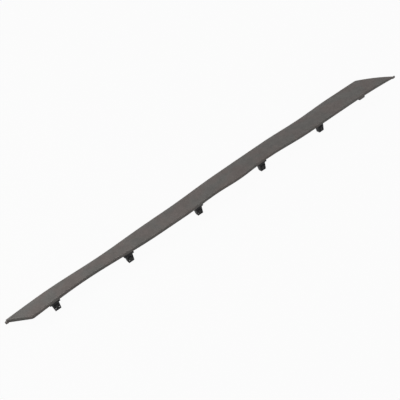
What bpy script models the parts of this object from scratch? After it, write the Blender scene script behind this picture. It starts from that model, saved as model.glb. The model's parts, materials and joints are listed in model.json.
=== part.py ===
"""Car body side moulding with five push-in clips.

One long injection-moulded strip, hollow and ribbed behind, and five snap clips that slide into houses on its
back. Strip frame: X along the strip, Y across it towards the upper edge, Z out of the face, and Z = 0 in the
plane of the lip rims. The clip row runs along Y = 0. The whole thing then leans back on its clip tips and its
upper rim, as it lies on a level floor.
"""

import math

import bmesh
import bpy
from mathutils import Vector

# Strip, in metres
LENGTH = 0.7230
LEFT_CUT_RUN = 0.0303
RIGHT_CUT_RUN = 0.0378
NOSE_WIDTH = 0.0020
EDGE_DEPTH = 0.0044
CROWN_RISE = 0.0014
WALL = 0.0015
SHOULDER_RADIUS = 0.0010
INNER_RADIUS = 0.0004
CORNER_TRIM = 0.0024

# The face falls away towards the right nose
NOSE_DIP = 0.0012
DIP_REACH = 0.045

# Long edges, measured from the clip row
UPPER_AT_LEFT = 0.0236
UPPER_AT_RIGHT = 0.0277
LOWER_AT_LEFT = -0.0128
LOWER_AT_RIGHT = -0.0145
LEFT_DROOP = 0.0055
LEFT_DROOP_REACH = 0.120
RIGHT_DROOP = 0.0056
RIGHT_DROOP_REACH = 0.090

# Waves of each edge: centre along X, half of the reach, height
UPPER_WAVES = (
    (-0.198, 0.110, -0.0044),
    (-0.078, 0.094, -0.0031),
    (0.150, 0.420, 0.0054),
    (0.189, 0.072, -0.0029),
)
LOWER_WAVES = (
    (-0.245, 0.127, 0.0077),
    (-0.010, 0.060, 0.0033),
    (0.097, 0.080, 0.0053),
)

# Ribs on the back
RIB_THICKNESS = 0.0012
RIB_RECESS = 0.0008
RIB_PITCH = 0.042
SPINE_Y = 0.0125

# Clip row: the middles of its first and last house, and for each clip how far it has slid along its house and
# how far the house stands off the row, as the holes of the panel do
FIRST_CLIP_FROM_LEFT = 0.0658
LAST_CLIP_FROM_RIGHT = 0.1532
CLIP_SHIFTS = (
    (0.0008, 0.0016),
    (-0.0018, -0.0024),
    (0.0000, -0.0020),
    (0.0018, 0.0005),
    (-0.0012, -0.0016),
)

# Clip house, the box behind the face that takes a clip head
HOUSE_LENGTH = 0.0200
HOUSE_WALL = 0.0015
HOUSE_PLATE = 0.0010
HOUSE_RECESS = 0.0003
HOUSE_CEILING = 0.0002
HOUSE_FROM_LIP = 0.0018
SLIDE_ROOM = 0.0022

# Locating boss near the right end, and the tabs that reach past the noses
BOSS_FROM_RIGHT = 0.0628
BOSS_Y = -0.0040
BOSS_LENGTH = 0.0132
BOSS_WIDTH = 0.0120
BOSS_PROUD = 0.0070
BOSS_TAPER = 0.0010
BOSS_WALL = 0.0018
TAB_SEAT = 0.0026
TAB_WIDTH = 0.0032
TAB_TOP = 0.0029
LEFT_TAB_REACH = 0.0030
LEFT_TAB_INSET = 0.0005
LEFT_TAB_PROUD = 0.0016
RIGHT_TAB_REACH = 0.0041
RIGHT_TAB_INSET = -0.0013
RIGHT_TAB_PROUD = 0.0009
TAB_TAPER = 0.0004
TAB_ROUNDING = 0.0011

# Clip
SEAT_GAP = 0.0003
HEAD_LENGTH = 0.0110
HEAD_WIDTH = 0.0090
HEAD_THICKNESS = 0.0010
NECK_SIDE = 0.0056
FLANGE_LENGTH = 0.0165
FLANGE_WIDTH = 0.0130
FLANGE_THICKNESS = 0.0048
FLANGE_CHAMFER = 0.0008
STEM_LENGTH = 0.0132
STEM_BASE_LENGTH = 0.0125
STEM_BASE_WIDTH = 0.0094
STEM_TIP_LENGTH = 0.0094
STEM_TIP_WIDTH = 0.0074
STEM_WALL = 0.0013
STEM_ROUNDING = 0.0006
TONGUE_LENGTH = 0.0046
SLIT_WIDTH = 0.0007
SLIT_FROM_FLANGE = 0.0021
SLIT_FROM_TIP = 0.0026
BARB_PROUD = 0.0009
BARB_FROM_SLIT_TOP = 0.0016
BARB_FROM_SLIT_END = 0.0020
BARB_ROOT = 0.0012
BARB_TAPER = 0.0008

# Mesh resolution
COLUMNS = 84
ROWS = 7
END_FADE = 6
SHOULDER_SEGMENTS = 3
CORNER_SEGMENTS = 4
ROUNDING_SEGMENTS = 3

SHARP_ANGLE = math.radians(32)
LEAN_SAMPLES = 400

STRIP_COLOUR = (0.125, 0.115, 0.106, 1.0)
STRIP_ROUGHNESS = 0.62
CLIP_COLOUR = (0.012, 0.012, 0.013, 1.0)
CLIP_ROUGHNESS = 0.42

# Cutters run on past what they cut, across the strip and below it
CUTTER_REACH = 0.050
CUTTER_DROP = 0.010


def wave(x, centre, reach, height):
    """One smooth swelling or hollow of an edge."""
    offset = abs(x - centre)
    if offset >= reach:
        return 0.0
    return height * math.cos(0.5 * math.pi * offset / reach) ** 2


def end_droop(distance, reach, droop):
    """How far a line has bent away near an end."""
    if distance >= reach:
        return 0.0
    return droop * (1 - distance / reach) ** 2


def upper_edge(x):
    along = x / LENGTH + 0.5
    base = UPPER_AT_LEFT + (UPPER_AT_RIGHT - UPPER_AT_LEFT) * along
    base -= end_droop(x + LENGTH / 2, LEFT_DROOP_REACH, LEFT_DROOP)
    return base + sum(wave(x, *shape) for shape in UPPER_WAVES)


def lower_edge(x):
    along = x / LENGTH + 0.5
    base = LOWER_AT_LEFT + (LOWER_AT_RIGHT - LOWER_AT_LEFT) * along
    base -= end_droop(LENGTH / 2 - x, RIGHT_DROOP_REACH, RIGHT_DROOP)
    return base + sum(wave(x, *shape) for shape in LOWER_WAVES)


def face_level(x, across):
    """Height of the face, which is crowned across the strip and falls away towards the right nose."""
    crown = CROWN_RISE * (1 - (2 * across - 1) ** 2)
    return EDGE_DEPTH + crown - end_droop(LENGTH / 2 - x, DIP_REACH, NOSE_DIP)


def end_cut(run, width, inset):
    """A slanting end once inset: how far its blunt corner and its nose lie back, and the nose's share."""
    slope = run / (width - NOSE_WIDTH)
    stretch = math.hypot(1, slope)
    blunt = run + inset * (stretch - slope)
    nose = NOSE_WIDTH - inset - inset * (stretch - 1) / slope
    kept = max(nose, NOSE_WIDTH / 2)
    return blunt, inset + (kept - nose) * slope, kept / (width - 2 * inset)


def column_x(along, across, left_end, right_end):
    """X of a point between the slanting ends, each given by its blunt corner, its nose and its share."""
    left_blunt, left_nose, left_share = left_end
    right_blunt, right_nose, right_share = right_end
    half = LENGTH / 2
    left_x = left_blunt + (left_nose - left_blunt) * min(1, across / (1 - left_share)) - half
    right_x = half - right_blunt - (right_nose - right_blunt) * min(1, (1 - across) / (1 - right_share))
    left_mean = (left_blunt + left_nose) / 2 - half
    right_mean = half - (right_blunt + right_nose) / 2
    x = left_mean + (right_mean - left_mean) * along
    return x + (left_x - left_mean) * (1 - along) ** END_FADE + (right_x - right_mean) * along**END_FADE


def plan_point(along, row, inset):
    """X and Y of a grid point of the outline, inset all round, and its share of the width."""
    half = LENGTH / 2
    left_width = upper_edge(-half) - lower_edge(LEFT_CUT_RUN - half)
    right_width = upper_edge(half - RIGHT_CUT_RUN) - lower_edge(half)
    ends = end_cut(LEFT_CUT_RUN, left_width, inset), end_cut(RIGHT_CUT_RUN, right_width, inset)
    across = row / ROWS
    if 0 < row < ROWS:
        at_left = (1 - ends[0][2]) * row / (ROWS - 1)
        at_right = ends[1][2] + (1 - ends[1][2]) * (row - 1) / (ROWS - 1)
        across += (at_left - row / ROWS) * (1 - along) ** END_FADE
        across += (at_right - row / ROWS) * along**END_FADE
    low = lower_edge(column_x(along, 0, *ends)) + inset
    high = upper_edge(column_x(along, 1, *ends)) - inset
    return column_x(along, across, *ends), low + (high - low) * across, across


def corner_rank(vert):
    """Lowest at the grid's lower left corner and highest at its upper right one, the two blunt corners."""
    return vert.co.x + vert.co.y


def skin(inset, rim_z):
    """The face and its side walls as one open sheet, with rounded shoulders, moved inwards by inset."""
    sheet = bmesh.new()
    bmesh.ops.create_grid(sheet, x_segments=COLUMNS, y_segments=ROWS, size=0.5)
    blunt = [min(sheet.verts, key=corner_rank), max(sheet.verts, key=corner_rank)]
    for vert in sheet.verts:
        x, y, across = plan_point(vert.co.x + 0.5, round((vert.co.y + 0.5) * ROWS), inset)
        vert.co = (x, y, face_level(x, across) - inset)
    bmesh.ops.bevel(
        sheet,
        geom=blunt,
        offset=CORNER_TRIM,
        segments=CORNER_SEGMENTS,
        profile=0.5,
        affect="VERTICES",
        material=-1,
    )
    border = [edge for edge in sheet.edges if edge.is_boundary]
    walls = bmesh.ops.extrude_edge_only(sheet, edges=border)["geom"]
    for item in walls:
        if isinstance(item, bmesh.types.BMVert):
            item.co.z = rim_z
    bmesh.ops.recalc_face_normals(sheet, faces=sheet.faces)
    if max(sheet.faces, key=lambda face: face.calc_center_median().z).normal.z < 0:
        bmesh.ops.reverse_faces(sheet, faces=sheet.faces)
    round_edges(sheet, border, INNER_RADIUS if inset else SHOULDER_RADIUS, SHOULDER_SEGMENTS)
    bmesh.ops.triangulate(sheet, faces=sheet.faces, quad_method="SHORT_EDGE")
    return sheet


def round_edges(mesh, edges, radius, segments):
    bmesh.ops.bevel(
        mesh,
        geom=edges,
        offset=radius,
        offset_type="OFFSET",
        segments=segments,
        profile=0.5,
        affect="EDGES",
        material=-1,
    )


def add_object(name, mesh, collection):
    """Turns a bmesh into an object of the collection."""
    data = bpy.data.meshes.new(name)
    mesh.to_mesh(data)
    mesh.free()
    made = bpy.data.objects.new(name, data)
    collection.objects.link(made)
    if collection is TOOLS:
        made.hide_render = True
        made.display_type = "WIRE"
    return made


def add_box(mesh, low, high, taper=(0.0, 0.0), rounding=0.0):
    """A box between two corners, drawn in by taper at its lower end."""
    low, high = Vector(low), Vector(high)
    made = bmesh.ops.create_cube(mesh, size=1.0)["verts"]
    bmesh.ops.scale(mesh, verts=made, vec=high - low)
    middle = (low + high) / 2
    bmesh.ops.translate(mesh, verts=made, vec=middle)
    for vert in made:
        if vert.co.z < middle.z:
            vert.co.x -= math.copysign(taper[0], vert.co.x - middle.x)
            vert.co.y -= math.copysign(taper[1], vert.co.y - middle.y)
    if rounding:
        edges = list({edge for vert in made for edge in vert.link_edges})
        round_edges(mesh, edges, rounding, ROUNDING_SEGMENTS)


def boolean(target, operation, other):
    step = target.modifiers.new(f"{operation.lower()} {other.name}", "BOOLEAN")
    step.operation = operation
    step.solver = "EXACT"
    step.object = other


def house_places():
    """X and Y of the middle of each clip house, at an even pitch along the strip."""
    first = FIRST_CLIP_FROM_LEFT - LENGTH / 2
    pitch = (LENGTH - FIRST_CLIP_FROM_LEFT - LAST_CLIP_FROM_RIGHT) / (len(CLIP_SHIFTS) - 1)
    return [(first + index * pitch, off_row) for index, (slide, off_row) in enumerate(CLIP_SHIFTS)]


def clip_places():
    """X and Y of each clip, slid along its house."""
    return [(x + slide, y) for (x, y), (slide, off_row) in zip(house_places(), CLIP_SHIFTS)]


def boss_position():
    return LENGTH / 2 - BOSS_FROM_RIGHT


def face_underside(x, y):
    """Height of the inside of the face above a point."""
    low, high = lower_edge(x), upper_edge(x)
    return face_level(x, (y - low) / (high - low)) - WALL


def rib_positions():
    """Cross ribs at an even pitch, left out where a house or the boss stands."""
    count = int((LENGTH - LEFT_CUT_RUN - RIGHT_CUT_RUN) / RIB_PITCH)
    middle = (LEFT_CUT_RUN - RIGHT_CUT_RUN) / 2
    places = [middle + (index - count / 2) * RIB_PITCH for index in range(count + 1)]
    kept_clear = [x for x, y in house_places()] + [boss_position()]
    margin = HOUSE_LENGTH / 2 + 2 * RIB_THICKNESS
    return [x for x in places if all(abs(x - taken) > margin for taken in kept_clear)]


def filled(mesh):
    """A skin with its open underside closed, as a solid."""
    rim = [edge for edge in mesh.edges if edge.is_boundary]
    floor = bmesh.ops.contextual_create(mesh, geom=rim)["faces"]
    bmesh.ops.triangulate(mesh, faces=floor)
    bmesh.ops.recalc_face_normals(mesh, faces=mesh.faces)
    return mesh


def make_shell():
    """The wall of the strip: an outer and an inner skin, joined by the rim."""
    mesh, inner = skin(0.0, 0.0), skin(WALL, 0.0)
    bmesh.ops.reverse_faces(inner, faces=inner.faces)
    lining = bpy.data.meshes.new("inner_skin")
    inner.to_mesh(lining)
    inner.free()
    mesh.from_mesh(lining)
    bmesh.ops.bridge_loops(mesh, edges=[edge for edge in mesh.edges if edge.is_boundary])
    return mesh


def make_ribs(core):
    """Cross ribs, and one spine between the clip row and the upper edge."""
    top = EDGE_DEPTH + CROWN_RISE
    cross = bmesh.new()
    for x in rib_positions():
        add_box(
            cross,
            (x - RIB_THICKNESS / 2, -CUTTER_REACH, RIB_RECESS),
            (x + RIB_THICKNESS / 2, CUTTER_REACH, top),
        )
    spine = bmesh.new()
    add_box(
        spine,
        (-LENGTH, SPINE_Y - RIB_THICKNESS / 2, RIB_RECESS + RIB_THICKNESS / 2),
        (LENGTH, SPINE_Y + RIB_THICKNESS / 2, top),
    )
    made = [add_object("cross_ribs", cross, TOOLS), add_object("spine_rib", spine, TOOLS)]
    for rib in made:
        boolean(rib, "INTERSECT", core)
    return made


def half_pocket():
    """Half of the width of the pocket that takes a clip head."""
    return HEAD_WIDTH / 2 + SEAT_GAP


def house_foot(x, y):
    """Where a house ends towards the lower lip; one that comes close to the lip runs on into it."""
    foot = y - half_pocket() - HOUSE_WALL
    nearest = max(lower_edge(x + step) for step in (-HOUSE_LENGTH / 2, 0, HOUSE_LENGTH / 2))
    return foot if nearest + WALL + HOUSE_FROM_LIP < foot else -CUTTER_REACH


def make_houses(core):
    """A block for each clip house, trimmed to the inside of the strip."""
    mesh = bmesh.new()
    for x, y in house_places():
        add_box(
            mesh,
            (x - HOUSE_LENGTH / 2, house_foot(x, y), HOUSE_RECESS),
            (x + HOUSE_LENGTH / 2, y + half_pocket() + HOUSE_WALL, EDGE_DEPTH + CROWN_RISE),
        )
    houses = add_object("house_blocks", mesh, TOOLS)
    boolean(houses, "INTERSECT", core)
    return houses


def make_house_cutters():
    """The pocket for the clip head, open towards +X, and the slot along which its neck can slide."""
    pockets, slots = bmesh.new(), bmesh.new()
    plate_top = HOUSE_RECESS + HOUSE_PLATE
    slot = NECK_SIDE / 2 + SEAT_GAP
    for x, y in house_places():
        near, far = x - HOUSE_LENGTH / 2 + HOUSE_WALL, x + HOUSE_LENGTH / 2 + RIB_THICKNESS
        low, high = y - half_pocket(), y + half_pocket()
        ceiling = min(face_underside(place, side) for place in (near, x, far) for side in (low, high))
        add_box(pockets, (near, low, plate_top), (far, high, ceiling - HOUSE_CEILING))
        add_box(
            slots,
            (x - slot - SLIDE_ROOM, y - slot, -CUTTER_DROP),
            (far, y + slot, plate_top + HOUSE_PLATE / 2),
        )
    return [add_object("house_pockets", pockets, TOOLS), add_object("house_slots", slots, TOOLS)]


def make_boss():
    """The moulded locating boss, a tapered box cored out from below."""
    x = boss_position()
    block, hollow = bmesh.new(), bmesh.new()
    low = Vector((x - BOSS_LENGTH / 2, BOSS_Y - BOSS_WIDTH / 2, -BOSS_PROUD))
    high = Vector((x + BOSS_LENGTH / 2, BOSS_Y + BOSS_WIDTH / 2, EDGE_DEPTH - WALL / 2))
    add_box(block, low, high, taper=(BOSS_TAPER, BOSS_TAPER))
    wall = Vector((BOSS_WALL, BOSS_WALL, 0))
    add_box(
        hollow,
        low + wall - Vector((0, 0, BOSS_PROUD)),
        high - wall - Vector((0, 0, WALL)),
        taper=(BOSS_TAPER, BOSS_TAPER),
    )
    return add_object("boss_block", block, TOOLS), add_object("boss_hollow", hollow, TOOLS)


def make_tabs():
    """A low tab at each nose, which reaches past it under the next panel's strip."""
    mesh = bmesh.new()
    half = LENGTH / 2
    upper, lower = upper_edge(-half) - LEFT_TAB_INSET, lower_edge(half) + RIGHT_TAB_INSET
    add_box(
        mesh,
        (-half - LEFT_TAB_REACH, upper - TAB_WIDTH, -LEFT_TAB_PROUD),
        (-half + TAB_SEAT, upper, TAB_TOP),
        taper=(TAB_TAPER, TAB_TAPER),
        rounding=TAB_ROUNDING,
    )
    add_box(
        mesh,
        (half - TAB_SEAT, lower, -RIGHT_TAB_PROUD),
        (half + RIGHT_TAB_REACH, lower + TAB_WIDTH, TAB_TOP),
        taper=(TAB_TAPER, TAB_TAPER),
        rounding=TAB_ROUNDING,
    )
    return add_object("nose_tabs", mesh, TOOLS)


def make_strip():
    strip = add_object("moulding_strip", make_shell(), PARTS)
    core = add_object("inside_space", filled(skin(WALL / 2, -CUTTER_DROP)), TOOLS)
    boss, boss_hollow = make_boss()
    for piece in make_ribs(core):
        boolean(strip, "UNION", piece)
    boolean(strip, "UNION", make_houses(core))
    boolean(strip, "UNION", boss)
    boolean(strip, "UNION", make_tabs())
    for cutter in make_house_cutters() + [boss_hollow]:
        boolean(strip, "DIFFERENCE", cutter)
    finish(strip, "moulded grey plastic", STRIP_COLOUR, STRIP_ROUGHNESS)
    return strip


def clip_levels():
    """Heights of the clip's faces, from the head's top down to the tip."""
    head_bottom = HOUSE_RECESS + HOUSE_PLATE + SEAT_GAP
    flange_top = HOUSE_RECESS - SEAT_GAP
    flange_bottom = flange_top - FLANGE_THICKNESS
    return head_bottom + HEAD_THICKNESS, head_bottom, flange_top, flange_bottom, flange_bottom - STEM_LENGTH


def stem_half(z, base, tip):
    """Half of the stem's size at a height, from its size at the base and at the tip."""
    bottom, end = clip_levels()[3:]
    share = (bottom - z) / (bottom - end)
    return (base + (tip - base) * share) / 2


def make_clip_tools():
    """What all clips share: the hollow of the stem, the slits beside its two tongues, and their barbs."""
    flange_bottom, tip = clip_levels()[3:]
    hollow, slits, barbs = bmesh.new(), bmesh.new(), bmesh.new()
    wide, deep = STEM_BASE_LENGTH / 2 - STEM_WALL, STEM_BASE_WIDTH / 2 - STEM_WALL
    add_box(
        hollow,
        (-wide, -deep, tip - STEM_WALL),
        (wide, deep, flange_bottom + FLANGE_THICKNESS / 2),
        taper=((STEM_BASE_LENGTH - STEM_TIP_LENGTH) / 2, (STEM_BASE_WIDTH - STEM_TIP_WIDTH) / 2),
    )
    top, bottom = flange_bottom - SLIT_FROM_FLANGE, tip + SLIT_FROM_TIP
    half = TONGUE_LENGTH / 2
    for x in (-half - SLIT_WIDTH, half):
        add_box(slits, (x, -STEM_BASE_WIDTH, bottom), (x + SLIT_WIDTH, STEM_BASE_WIDTH, top))
    face = stem_half((top + bottom) / 2, STEM_BASE_WIDTH, STEM_TIP_WIDTH)
    for side in (-1, 1):
        near, far = sorted((side * (face - BARB_ROOT), side * (face + BARB_PROUD)))
        add_box(
            barbs,
            (-half, near, bottom + BARB_FROM_SLIT_END),
            (half, far, top - BARB_FROM_SLIT_TOP),
            taper=(0.0, BARB_TAPER),
        )
    made = [("stem_hollow", hollow), ("tongue_slits", slits), ("tongue_barbs", barbs)]
    return [add_object(name, mesh, TOOLS) for name, mesh in made]


def clip_mesh():
    """Head, neck, flange and tapered stem of one clip, as overlapping solids for a union."""
    head_top, head_bottom, flange_top, flange_bottom, tip = clip_levels()
    neck = NECK_SIDE / 2
    head, flange, stem, column = bmesh.new(), bmesh.new(), bmesh.new(), bmesh.new()
    add_box(
        head,
        (-HEAD_LENGTH / 2, -HEAD_WIDTH / 2, head_bottom),
        (HEAD_LENGTH / 2, HEAD_WIDTH / 2, head_top),
    )
    add_box(column, (-neck, -neck, flange_bottom), (neck, neck, head_top - HEAD_THICKNESS / 2))
    add_box(
        flange,
        (-FLANGE_LENGTH / 2, -FLANGE_WIDTH / 2, flange_bottom),
        (FLANGE_LENGTH / 2, FLANGE_WIDTH / 2, flange_top),
        rounding=FLANGE_CHAMFER,
    )
    add_box(
        stem,
        (-STEM_BASE_LENGTH / 2, -STEM_BASE_WIDTH / 2, tip),
        (STEM_BASE_LENGTH / 2, STEM_BASE_WIDTH / 2, flange_top - FLANGE_THICKNESS / 2),
        taper=((STEM_BASE_LENGTH - STEM_TIP_LENGTH) / 2, (STEM_BASE_WIDTH - STEM_TIP_WIDTH) / 2),
        rounding=STEM_ROUNDING,
    )
    return head, column, flange, stem


def make_clips():
    hollow, slits, barbs = make_clip_tools()
    head, column, flange, stem = clip_mesh()
    shared = [
        add_object("clip_head", head, TOOLS),
        add_object("clip_neck", column, TOOLS),
        add_object("clip_stem", stem, TOOLS),
    ]
    master = add_object("clip_master", flange, TOOLS)
    for piece in shared:
        boolean(master, "UNION", piece)
    boolean(master, "UNION", barbs)
    boolean(master, "DIFFERENCE", hollow)
    boolean(master, "DIFFERENCE", slits)
    bpy.context.view_layer.update()
    solid = bpy.data.meshes.new_from_object(master.evaluated_get(bpy.context.evaluated_depsgraph_get()))
    clips = []
    for index, (x, y) in enumerate(clip_places()):
        clip = bpy.data.objects.new(f"clip_{index + 1}", solid)
        PARTS.objects.link(clip)
        clip.location = (x, y, 0)
        clips.append(clip)
    finish(clips[0], "black clip plastic", CLIP_COLOUR, CLIP_ROUGHNESS)
    return clips


def finish(piece, name, colour, roughness):
    """Gives a part its plastic and smooth shading that keeps the crisp edges."""
    material = bpy.data.materials.new(name)
    material.use_nodes = True
    shader = material.node_tree.nodes["Principled BSDF"]
    shader.inputs["Base Color"].default_value = colour
    shader.inputs["Roughness"].default_value = roughness
    shader.inputs["Metallic"].default_value = 0.0
    piece.data.materials.clear()
    piece.data.materials.append(material)
    piece.data.shade_smooth()
    piece.data.set_sharp_from_angle(angle=SHARP_ANGLE)


def lean_angle():
    """Angle at which the foremost clip tip and the upper rim touch the floor together."""
    samples = [LENGTH * (index / LEAN_SAMPLES - 0.5) for index in range(LEAN_SAMPLES + 1)]
    reach = max(upper_edge(x) for x in samples)
    tip = max(y for x, y in clip_places()) + STEM_TIP_WIDTH / 2
    return math.atan2(-clip_levels()[-1], reach - tip)


def lay_down(pieces):
    """Hangs pieces and cutters on one empty, leans them back and centres them on the floor's origin."""
    stand = bpy.data.objects.new("resting_pose", None)
    PARTS.objects.link(stand)
    for piece in pieces + list(TOOLS.objects):
        piece.parent = stand
    stand.rotation_euler = (-lean_angle(), 0, 0)
    bpy.context.view_layer.update()
    graph = bpy.context.evaluated_depsgraph_get()
    points = []
    for piece in pieces:
        solid = piece.evaluated_get(graph)
        points += [solid.matrix_world @ vert.co for vert in solid.data.vertices]
    low = Vector([min(point[axis] for point in points) for axis in range(3)])
    high = Vector([max(point[axis] for point in points) for axis in range(3)])
    stand.location = (-(low.x + high.x) / 2, -(low.y + high.y) / 2, -low.z)
    bpy.context.view_layer.update()


for old in list(bpy.data.objects):
    bpy.data.objects.remove(old)
PARTS = bpy.data.collections.new("car_body_side_moulding")
TOOLS = bpy.data.collections.new("cutters")
bpy.context.scene.collection.children.link(PARTS)
bpy.context.scene.collection.children.link(TOOLS)
lay_down([make_strip()] + make_clips())
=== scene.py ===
"""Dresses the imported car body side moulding: grained strip, black clips, studio stage and camera."""

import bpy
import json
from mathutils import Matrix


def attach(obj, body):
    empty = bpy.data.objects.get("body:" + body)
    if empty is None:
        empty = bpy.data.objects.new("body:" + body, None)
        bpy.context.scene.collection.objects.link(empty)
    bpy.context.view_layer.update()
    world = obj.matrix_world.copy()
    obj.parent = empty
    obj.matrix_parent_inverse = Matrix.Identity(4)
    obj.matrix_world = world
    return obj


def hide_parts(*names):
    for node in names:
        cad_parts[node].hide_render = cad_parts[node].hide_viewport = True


bl_info = {
    "name": "Car body side moulding",
    "version": (1, 0, 0),
    "blender": (4, 5, 0),
    "location": "3D View > Sidebar > Moulding",
    "description": "Builds the visible moulding strip, its clips and a studio stage",
    "category": "Object",
}

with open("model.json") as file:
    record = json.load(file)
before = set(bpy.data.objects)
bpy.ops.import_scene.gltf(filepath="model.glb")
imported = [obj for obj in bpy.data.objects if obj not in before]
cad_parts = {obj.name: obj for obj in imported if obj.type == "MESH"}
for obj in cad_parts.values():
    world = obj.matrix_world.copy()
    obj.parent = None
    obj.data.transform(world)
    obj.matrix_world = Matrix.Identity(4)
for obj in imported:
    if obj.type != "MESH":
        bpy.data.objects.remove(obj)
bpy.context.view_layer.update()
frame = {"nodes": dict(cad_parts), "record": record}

import json
import math

import bmesh
import bpy
from bpy.props import FloatProperty, FloatVectorProperty, PointerProperty
from mathutils import Matrix, Vector

# Name of the face attribute that is 1 on the grained outside and 0 on the smooth back
OUTSIDE = "outside"

# Points of a CAD mesh that are closer than this are one point
WELD = 1e-6

# Where the mount clip_1_seat lies in the strip's own frame
SEAT_IN_STRIP = Vector((-0.28805, 0.0016, -0.0048))

# Camera sensor width in millimetres, and the nearest that the camera sees in metres
SENSOR = 36.0
NEAR = 0.01

WHITE = (1.0, 1.0, 1.0, 1.0)
FLOOR_ROUGHNESS = 0.9

# Square lamps: where each stands and aims, its side, and the angle that its light spreads over
KEY_LAMP = {"place": (-0.85, 0.6, 1.0), "aim": (-0.5, 0.0, 0.0), "size": 0.6, "spread_degrees": 80}
SIDE_LAMP = {"place": (0.95, 0.7, 1.1), "aim": (0.5, 0.0, 0.0), "size": 0.8, "spread_degrees": 100}
FILL_LAMP = {"place": (0.7, -1.6, 0.9), "aim": (0.1, 0.0, 0.0), "size": 1.0, "spread_degrees": 180}

# Ranges: from nothing to all, and the part of its range in which most of a noise lies
FULL = (0.0, 1.0)
MOST_NOISE = (0.3, 0.7)


def strip_pose():
    """The strip's own frame in the world: X along it, Y towards its upper edge, Z out of its face."""
    seat = next(mount for mount in frame["record"]["mounts"] if mount["name"] == "clip_1_seat")
    down = Vector(seat["axis"])
    lean = math.atan2(-down.y, -down.z)
    pose = Matrix.Rotation(-lean, 4, "X")
    pose.translation = Vector(seat["pos_m"]) - pose @ SEAT_IN_STRIP
    return pose


POSE = strip_pose()


def colour_property(name, description, default):
    return FloatVectorProperty(
        name=name, description=description, subtype="COLOR", size=4, min=0.0, max=1.0, default=(*default, 1.0)
    )


def length_property(name, description, default):
    return FloatProperty(
        name=name, description=description, min=0.0, default=default, precision=5, unit="LENGTH"
    )


def share_property(name, description, default):
    return FloatProperty(name=name, description=description, min=0.0, max=1.0, default=default)


def power_property(name, description, default):
    return FloatProperty(name=name, description=description, min=0.0, default=default, unit="POWER")


def angle_property(name, description, degrees):
    return FloatProperty(name=name, description=description, default=math.radians(degrees), unit="ROTATION")


class StripFinish(bpy.types.PropertyGroup):
    colour: colour_property("Neutral grey", "Cooler tone of the strip's plastic", (0.127, 0.121, 0.114))
    warm_colour: colour_property("Warm grey", "Warmer tone that drifts through it", (0.138, 0.121, 0.113))
    drift_size: length_property("Drift size", "Size of the patches of either tone", 0.028)
    roughness: share_property("Face roughness", "Roughness of the grained outside", 0.62)
    inner_roughness: share_property("Inner roughness", "Roughness of the smooth back", 0.44)
    gloss: share_property("Gloss", "Specular level of the strip's plastic", 0.22)
    cloud_size: length_property("Cloud size", "Size of the paler and darker clouds in the face", 0.009)
    cloud_share: share_property("Cloud share", "How much paler or darker they are", 0.07)
    grain_size: length_property("Grain size", "Width of one pebble of the grain", 0.0010)
    grain_depth: length_property("Grain depth", "Depth of the grain", 0.00006)
    # Painted shade: the valleys of the grain are drawn darker in the base colour
    valley_painted_shade: share_property("Grain shade", "How much darker the valleys of the grain are", 0.14)
    mark_pitch: length_property("Mark pitch", "Distance between the ejector marks on the back", 0.042)
    mark_radius: length_property("Mark radius", "Radius of an ejector mark", 0.0018)
    mark_depth: length_property("Mark depth", "Depth of an ejector mark", 0.0002)
    sharp_angle: angle_property("Sharp angle", "Edges that turn by more than this stay crisp", 32)


class ClipFinish(bpy.types.PropertyGroup):
    colour: colour_property("Clip black", "Base colour of the clip plastic", (0.028, 0.028, 0.029))
    scuff_colour: colour_property("Scuff grey", "Colour of its rubbed places", (0.065, 0.065, 0.067))
    roughness: share_property("Roughness", "Roughness of the clip plastic", 0.5)
    gloss: share_property("Gloss", "Specular level of the clip plastic", 0.1)
    texture_size: length_property("Texture size", "Size of the spark-eroded texture", 0.00035)
    texture_depth: length_property("Texture depth", "Depth of that texture", 0.00003)


class StudioSettings(bpy.types.PropertyGroup):
    azimuth: angle_property("Azimuth", "Camera angle round the strip's face normal", -22.30)
    elevation: angle_property("Elevation", "Camera angle above the plane of the face", 33.0)
    roll: angle_property("Roll", "Camera roll", -21.46)
    target: FloatVectorProperty(
        name="Target",
        description="Point of the strip's frame that the camera looks at",
        size=3,
        subtype="XYZ",
        unit="LENGTH",
        default=(-0.02335, 0.0267, -0.018),
    )
    distance: length_property("Distance", "Camera distance from the target", 1.090)
    lens: FloatProperty(name="Lens", description="Focal length in millimetres", default=63.0)
    key_power: power_property("Key light", "Lamp over the left end", 3.0)
    side_power: power_property("Side light", "Lamp over the right end", 3.1)
    fill_power: power_property("Fill light", "Lamp in front", 11.2)
    world_level: share_property("World level", "Strength of the even light all round", 0.2)
    floor_shade: share_property("Floor shade", "How pale the floor is to the light", 0.2)
    floor_white: share_property("Floor white", "How far camera and reflections see it as pure white", 0.96)
    floor_side: length_property("Floor side", "Length of the square floor", 8.0)


def add_node(tree, kind, inputs=None, **settings):
    """A shader node with its settings, and its inputs filled from values or from other sockets."""
    made = tree.nodes.new(kind)
    for name, value in settings.items():
        setattr(made, name, value)
    for socket, value in (inputs or {}).items():
        if isinstance(value, bpy.types.NodeSocket):
            tree.links.new(value, made.inputs[socket])
        else:
            made.inputs[socket].default_value = value
    return made


def calc(tree, operation, *values):
    """The result of one Math node."""
    return add_node(tree, "ShaderNodeMath", dict(enumerate(values)), operation=operation).outputs["Value"]


def spread(tree, value, source, target):
    """Maps a value smoothly from one range to another."""
    inputs = {"Value": value, 1: source[0], 2: source[1], 3: target[0], 4: target[1]}
    return add_node(tree, "ShaderNodeMapRange", inputs, interpolation_type="SMOOTHSTEP").outputs["Result"]


def noise(tree, place, size, detail):
    """Noise whose features are about one size."""
    inputs = {"Vector": place, "Scale": 1 / size, "Detail": detail}
    return add_node(tree, "ShaderNodeTexNoise", inputs).outputs["Fac"]


def stretched(tree, place, scale):
    """Coordinates that draw a pattern out along each axis where their scale is below 1."""
    return add_node(tree, "ShaderNodeMapping", {"Vector": place, "Scale": scale}).outputs["Vector"]


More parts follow.
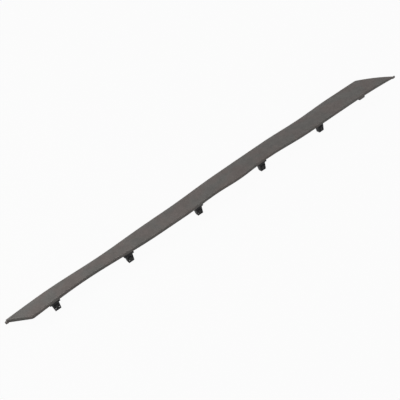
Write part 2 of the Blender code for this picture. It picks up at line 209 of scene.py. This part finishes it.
def blend(tree, factor, first, second):
    """Mixes two numbers, which the Mix node takes in its sockets 2 and 3."""
    return add_node(tree, "ShaderNodeMix", {0: factor, 2: first, 3: second}).outputs[0]


def tint(tree, factor, first, second):
    """Mixes two colours, which it takes in its sockets 6 and 7."""
    inputs = {0: factor, 6: first, 7: second}
    return add_node(tree, "ShaderNodeMix", inputs, data_type="RGBA").outputs[2]


def new_plastic(name, colour, roughness):
    """A material with a bare Principled shader, and its tree."""
    material = bpy.data.materials.new(name)
    material.use_nodes = True
    shader = material.node_tree.nodes["Principled BSDF"]
    shader.inputs["Base Color"].default_value = colour
    shader.inputs["Roughness"].default_value = roughness
    return material, material.node_tree, shader


def strip_coordinates(tree):
    """Object coordinates turned into the strip's own frame."""
    back = POSE.inverted()
    place = add_node(tree, "ShaderNodeTexCoord").outputs["Object"]
    inputs = {"Vector": place, "Location": back.translation, "Rotation": back.to_euler()}
    return add_node(tree, "ShaderNodeMapping", inputs).outputs["Vector"]


def pebbles_of(tree, place, size):
    """Cells parted by valleys: 1 on their tops and 0 in the valleys."""
    flank = (0.02, 0.3)
    cells = {"Vector": place, "Scale": 1 / size}
    edge = add_node(tree, "ShaderNodeTexVoronoi", cells, feature="DISTANCE_TO_EDGE").outputs["Distance"]
    return spread(tree, edge, flank, FULL)


def leather_grain(tree, place, size):
    """Bent pebbles of two sizes, 1 on their tops and 0 in the valleys, and their pores."""
    bends_per_pebble, bend_reach = 0.7, 0.7 * size
    small_size, small_share, pore_size = 0.45 * size, 0.3, size / 4
    waves = {"Vector": place, "Scale": bends_per_pebble / size, "Detail": 1.0}
    bend = add_node(tree, "ShaderNodeTexNoise", waves).outputs["Color"]
    inputs = {0: bend, 1: (bend_reach,) * 3, 2: place}
    bent = add_node(tree, "ShaderNodeVectorMath", inputs, operation="MULTIPLY_ADD").outputs["Vector"]
    large, small = pebbles_of(tree, bent, size), pebbles_of(tree, bent, small_size)
    return blend(tree, small_share, large, small), noise(tree, place, pore_size, 2.0)


def ejector_marks(tree, place, finish):
    """Round dents in two rows on the back, one pair to each bay between the cross ribs."""
    first_bay, row_middle, row_half = -0.00375, 0.0108, 0.0067
    rim = (0.93 * finish.mark_radius, finish.mark_radius)
    axes = add_node(tree, "ShaderNodeSeparateXYZ", {"Vector": place}).outputs
    along = calc(tree, "PINGPONG", calc(tree, "SUBTRACT", axes["X"], first_bay), finish.mark_pitch / 2)
    row = calc(tree, "ABSOLUTE", calc(tree, "SUBTRACT", axes["Y"], row_middle))
    across = calc(tree, "SUBTRACT", row, row_half)
    square = calc(tree, "MULTIPLY_ADD", along, along, calc(tree, "MULTIPLY", across, across))
    radius = calc(tree, "SQRT", square)
    return spread(tree, radius, rim, FULL)


def grained_plastic(finish):
    """Leather grain on the outside, its valleys darkened with painted shade; a smoother back with flow lines
    and ejector marks.
    """
    along_flow = (0.03, 1.0, 1.0)
    drift_edge, cloud_reach, pore_tints, wear = (0.38, 0.62), (-1.0, 1.0), (0.96, 1.04), (-0.05, 0.05)
    valley_roughness, pore_depth, flow_depth = 0.08, 0.3, 0.25
    material, tree, shader = new_plastic("grained grey plastic", finish.colour, finish.roughness)
    shader.inputs["Specular IOR Level"].default_value = finish.gloss
    place = strip_coordinates(tree)
    outside = add_node(tree, "ShaderNodeAttribute", attribute_name=OUTSIDE).outputs["Fac"]
    pebbles, pores = leather_grain(tree, place, finish.grain_size)
    flow = noise(tree, stretched(tree, place, along_flow), finish.grain_size / 2, 3.0)
    marks = ejector_marks(tree, place, finish)

    drift = spread(tree, noise(tree, place, finish.drift_size, 2.0), drift_edge, FULL)
    base = tint(tree, drift, finish.colour, finish.warm_colour)
    # Painted shade in the grain's valleys, then random pore speckle and paler or darker clouds, all scaling
    # the base colour
    depth = calc(tree, "MULTIPLY", calc(tree, "SUBTRACT", 1.0, pebbles), outside)
    valley_shade = calc(tree, "MULTIPLY_ADD", depth, -finish.valley_painted_shade, 1.0)
    clouds = spread(tree, noise(tree, place, finish.cloud_size, 3.0), MOST_NOISE, cloud_reach)
    shade_and_speckle = calc(tree, "MULTIPLY", valley_shade, spread(tree, pores, MOST_NOISE, pore_tints))
    level = calc(tree, "MULTIPLY", shade_and_speckle, calc(tree, "MULTIPLY_ADD", clouds, finish.cloud_share, 1.0))
    shade = add_node(tree, "ShaderNodeVectorMath", {0: base, "Scale": level}, operation="SCALE")
    tree.links.new(shade.outputs["Vector"], shader.inputs["Base Color"])

    worn = spread(tree, noise(tree, place, 2 * finish.drift_size, 3.0), MOST_NOISE, wear)
    valley = calc(tree, "MULTIPLY_ADD", pebbles, -valley_roughness, valley_roughness + finish.roughness)
    face = calc(tree, "ADD", worn, valley)
    back = calc(tree, "ADD", worn, finish.inner_roughness)
    tree.links.new(blend(tree, outside, back, face), shader.inputs["Roughness"])

    grain = calc(tree, "MULTIPLY_ADD", pores, pore_depth, pebbles)
    step = calc(tree, "MULTIPLY", marks, finish.mark_depth / finish.grain_depth)
    tooled = calc(tree, "MULTIPLY_ADD", flow, flow_depth, step)
    height = blend(tree, outside, tooled, grain)
    bump = add_node(tree, "ShaderNodeBump", {"Height": height, "Distance": finish.grain_depth})
    tree.links.new(bump.outputs["Normal"], shader.inputs["Normal"])
    return material


def clip_plastic(finish):
    """Black moulded plastic with a fine spark-eroded texture, and rubbed a little paler here and there."""
    along_stem, streak_size, streak_depth = (1.0, 1.0, 0.12), 4 * finish.texture_size, 0.5
    rubbed_part, uneven = (0.52, 0.8), 0.06
    material, tree, shader = new_plastic("black clip plastic", finish.colour, finish.roughness)
    shader.inputs["Specular IOR Level"].default_value = finish.gloss
    place = strip_coordinates(tree)
    fine = noise(tree, place, finish.texture_size, 3.0)
    streaks = noise(tree, stretched(tree, place, along_stem), streak_size, 3.0)
    rubbed = spread(tree, streaks, rubbed_part, FULL)
    tree.links.new(tint(tree, rubbed, finish.colour, finish.scuff_colour), shader.inputs["Base Color"])
    rough = spread(tree, fine, MOST_NOISE, (finish.roughness - uneven, finish.roughness + uneven))
    tree.links.new(rough, shader.inputs["Roughness"])
    height = calc(tree, "MULTIPLY_ADD", streaks, streak_depth, fine)
    bump = add_node(tree, "ShaderNodeBump", {"Height": height, "Distance": finish.texture_depth})
    tree.links.new(bump.outputs["Normal"], shader.inputs["Normal"])
    return material


def merged_mesh(node):
    """A welded copy of a CAD node's mesh, as a bmesh."""
    mesh = bmesh.new()
    mesh.from_mesh(frame["nodes"][node].data)
    bmesh.ops.remove_doubles(mesh, verts=mesh.verts, dist=WELD)
    mesh.normal_update()
    return mesh


def mark_outside(mesh, sharp_angle):
    """Marks the skin that shows: all faces reached from the top of the face without crossing a sharp edge."""
    layer = mesh.faces.layers.float.new(OUTSIDE)
    out = POSE.to_3x3() @ Vector((0.0, 0.0, 1.0))
    found = [max(mesh.faces, key=lambda face: face.calc_center_median() @ out)]
    found[0][layer] = 1.0
    while found:
        for edge in found.pop().edges:
            if len(edge.link_faces) == 2 and edge.calc_face_angle() < sharp_angle:
                fresh = [face for face in edge.link_faces if not face[layer]]
                for face in fresh:
                    face[layer] = 1.0
                found += fresh


def finished_piece(mesh, name, sharp_angle):
    """A smooth shaded object with crisp sharp edges, from a bmesh."""
    data = bpy.data.meshes.new(name)
    mesh.to_mesh(data)
    mesh.free()
    data.shade_smooth()
    data.set_sharp_from_angle(angle=sharp_angle)
    made = bpy.data.objects.new(name, data)
    bpy.context.scene.collection.objects.link(made)
    return made


def stand_for(piece, node, material):
    """Gives a piece its material and lets it stand for a CAD node."""
    piece.data.materials.clear()
    piece.data.materials.append(material)
    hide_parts(node)
    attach(piece, "root")


class MOULDING_OT_strip(bpy.types.Operator):
    """Builds the visible strip"""

    bl_idname = "moulding.strip"
    bl_label = "Build strip"

    def execute(self, context):
        finish = context.scene.moulding_strip
        mesh = merged_mesh("moulding_strip")
        mark_outside(mesh, finish.sharp_angle)
        strip = finished_piece(mesh, "grained_strip", finish.sharp_angle)
        stand_for(strip, "moulding_strip", grained_plastic(finish))
        return {"FINISHED"}


class MOULDING_OT_clips(bpy.types.Operator):
    """Builds the five visible clips"""

    bl_idname = "moulding.clips"
    bl_label = "Build clips"

    def execute(self, context):
        material = clip_plastic(context.scene.moulding_clip)
        sharp_angle = context.scene.moulding_strip.sharp_angle
        for node in sorted(name for name in frame["nodes"] if name.startswith("clip_")):
            clip = finished_piece(merged_mesh(node), f"snap_{node}", sharp_angle)
            stand_for(clip, node, material)
        return {"FINISHED"}


def look_from(settings):
    """World matrix of the camera, from its angles in the strip's frame."""
    az, el, roll = settings.azimuth, settings.elevation, settings.roll
    back = Vector((math.sin(az) * math.cos(el), -math.cos(az) * math.cos(el), math.sin(el)))
    level = Vector((math.cos(az), math.sin(az), 0.0))
    up = back.cross(level)
    right = level * math.cos(roll) + up * math.sin(roll)
    up = up * math.cos(roll) - level * math.sin(roll)
    view = Matrix((right, up, back)).transposed().to_4x4()
    view.translation = Vector(settings.target) + back * settings.distance
    return POSE @ view


def add_lamp(name, power, place, aim, size, spread_degrees):
    """A soft square lamp, whose light stays within its spread."""
    lamp = bpy.data.objects.new(name, bpy.data.lights.new(name, "AREA"))
    lamp.data.shape = "SQUARE"
    lamp.data.size = size
    lamp.data.energy = power
    lamp.data.spread = math.radians(spread_degrees)
    lamp.location = place
    lamp.rotation_mode = "QUATERNION"
    lamp.rotation_quaternion = (Vector(place) - Vector(aim)).to_track_quat("Z", "Y")
    bpy.context.scene.collection.objects.link(lamp)


def white_share(tree, share):
    """How far the camera, reflections and glass see pure white; 0 for the rays that light the object."""
    rays = add_node(tree, "ShaderNodeLightPath").outputs
    mirrored = calc(tree, "MAXIMUM", rays["Is Glossy Ray"], rays["Is Transmission Ray"])
    return calc(tree, "MULTIPLY", calc(tree, "MAXIMUM", rays["Is Camera Ray"], mirrored), share)


def floor_material(settings):
    """Pale floor, seen near white, which keeps a faint shadow."""
    pale = (settings.floor_shade,) * 3 + (1.0,)
    material, tree, shader = new_plastic("pale floor", pale, FLOOR_ROUGHNESS)
    share = white_share(tree, settings.floor_white)
    white = add_node(tree, "ShaderNodeEmission", {"Color": WHITE, "Strength": 1.0})
    inputs = {0: share, 1: shader.outputs["BSDF"], 2: white.outputs["Emission"]}
    mix = add_node(tree, "ShaderNodeMixShader", inputs)
    tree.links.new(mix.outputs["Shader"], tree.nodes["Material Output"].inputs["Surface"])
    return material


def light_world(settings):
    """Even light all round, which the camera and reflections see as white."""
    world = bpy.data.worlds.new("even light")
    bpy.context.scene.world = world
    world.use_nodes = True
    tree = world.node_tree
    background = tree.nodes["Background"].inputs
    background["Color"].default_value = WHITE
    level = blend(tree, white_share(tree, 1.0), settings.world_level, 1.0)
    tree.links.new(level, background["Strength"])


class MOULDING_OT_stage(bpy.types.Operator):
    """Makes the floor, the lamps, the world and the camera"""

    bl_idname = "moulding.stage"
    bl_label = "Build stage"

    def execute(self, context):
        settings = context.scene.moulding_studio
        context.scene.view_settings.view_transform = "Standard"
        mesh = bmesh.new()
        bmesh.ops.create_grid(mesh, x_segments=1, y_segments=1, size=settings.floor_side / 2)
        data = bpy.data.meshes.new("floor")
        mesh.to_mesh(data)
        mesh.free()
        data.materials.append(floor_material(settings))
        floor = bpy.data.objects.new("floor", data)
        context.scene.collection.objects.link(floor)
        add_lamp("key", settings.key_power, **KEY_LAMP)
        add_lamp("side", settings.side_power, **SIDE_LAMP)
        add_lamp("fill", settings.fill_power, **FILL_LAMP)
        light_world(settings)
        camera = bpy.data.objects.new("camera", bpy.data.cameras.new("camera"))
        camera.data.lens = settings.lens
        camera.data.sensor_width = SENSOR
        camera.data.clip_start = NEAR
        camera.matrix_world = look_from(settings)
        context.scene.collection.objects.link(camera)
        context.scene.camera = camera
        return {"FINISHED"}


class MOULDING_PT_panel(bpy.types.Panel):
    """Lists the builders and their settings"""

    bl_idname = "MOULDING_PT_panel"
    bl_label = "Side moulding"
    bl_space_type = "VIEW_3D"
    bl_region_type = "UI"
    bl_category = "Moulding"

    def draw(self, context):
        scene = context.scene
        for settings, operator in (
            (scene.moulding_strip, "moulding.strip"),
            (scene.moulding_clip, "moulding.clips"),
            (scene.moulding_studio, "moulding.stage"),
        ):
            box = self.layout.box()
            for name in settings.__annotations__:
                box.prop(settings, name)
            box.operator(operator)


CLASSES = (
    StripFinish,
    ClipFinish,
    StudioSettings,
    MOULDING_OT_strip,
    MOULDING_OT_clips,
    MOULDING_OT_stage,
    MOULDING_PT_panel,
)


def register():
    for made in CLASSES:
        bpy.utils.register_class(made)
    bpy.types.Scene.moulding_strip = PointerProperty(type=StripFinish)
    bpy.types.Scene.moulding_clip = PointerProperty(type=ClipFinish)
    bpy.types.Scene.moulding_studio = PointerProperty(type=StudioSettings)


def unregister():
    del bpy.types.Scene.moulding_studio
    del bpy.types.Scene.moulding_clip
    del bpy.types.Scene.moulding_strip
    for made in reversed(CLASSES):
        bpy.utils.unregister_class(made)


def main():
    register()
    bpy.ops.moulding.strip()
    bpy.ops.moulding.clips()
    bpy.ops.moulding.stage()


if __name__ == "__main__":
    main()
